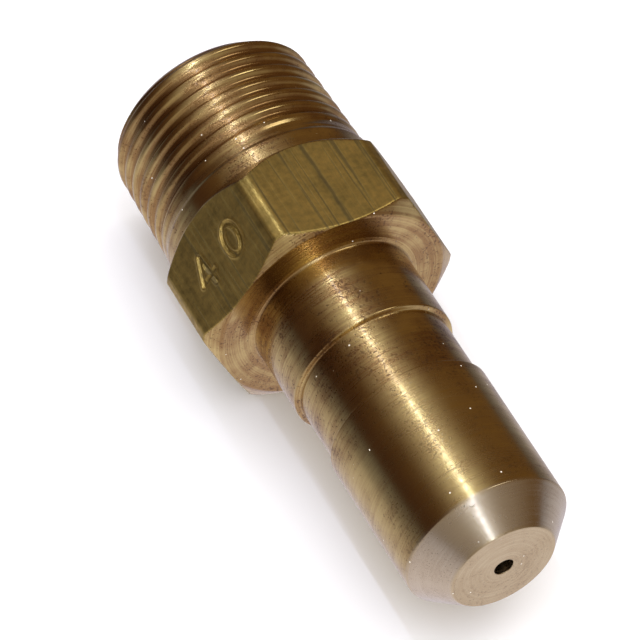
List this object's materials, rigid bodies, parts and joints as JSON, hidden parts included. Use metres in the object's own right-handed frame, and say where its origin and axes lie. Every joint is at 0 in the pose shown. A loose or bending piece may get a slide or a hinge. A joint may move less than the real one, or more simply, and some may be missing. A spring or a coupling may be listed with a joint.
{
  "type": "oil burner nozzle",
  "caption": "Brass oil burner nozzle with a tapered inlet thread, a spanner hexagon, a waisted barrel with a coned tip and a small orifice.",
  "frame": {"origin": "on the nozzle's axis at the inlet end face, where the inlet thread starts", "axes": "+Y along the axis out of the inlet, so the tip points to -Y; +Z out of the top flat of the hexagon, so another flat faces straight down"},
  "size_m": [0.0208, 0.0459, 0.018],
  "materials": {
    "body_brass": "as turned, lightly tarnished, with fine tool marks round the axis and drawn streaks along the flats",
    "plug_steel": "ground stainless steel",
    "screw_brass": "turned",
    "washer_aluminium": "soft, dull",
    "strainer_brass": "turned",
    "mesh_steel": "fine woven wire"
  },
  "bodies": {
    "root": {"nozzle_body": "body_brass", "swirl_plug": "plug_steel", "lock_screw": "screw_brass", "strainer_washer": "washer_aluminium", "strainer_base": "strainer_brass", "strainer_cage": "strainer_brass", "strainer_mesh": "mesh_steel", "strainer_cap": "strainer_brass"}
  },
  "joints": []
}
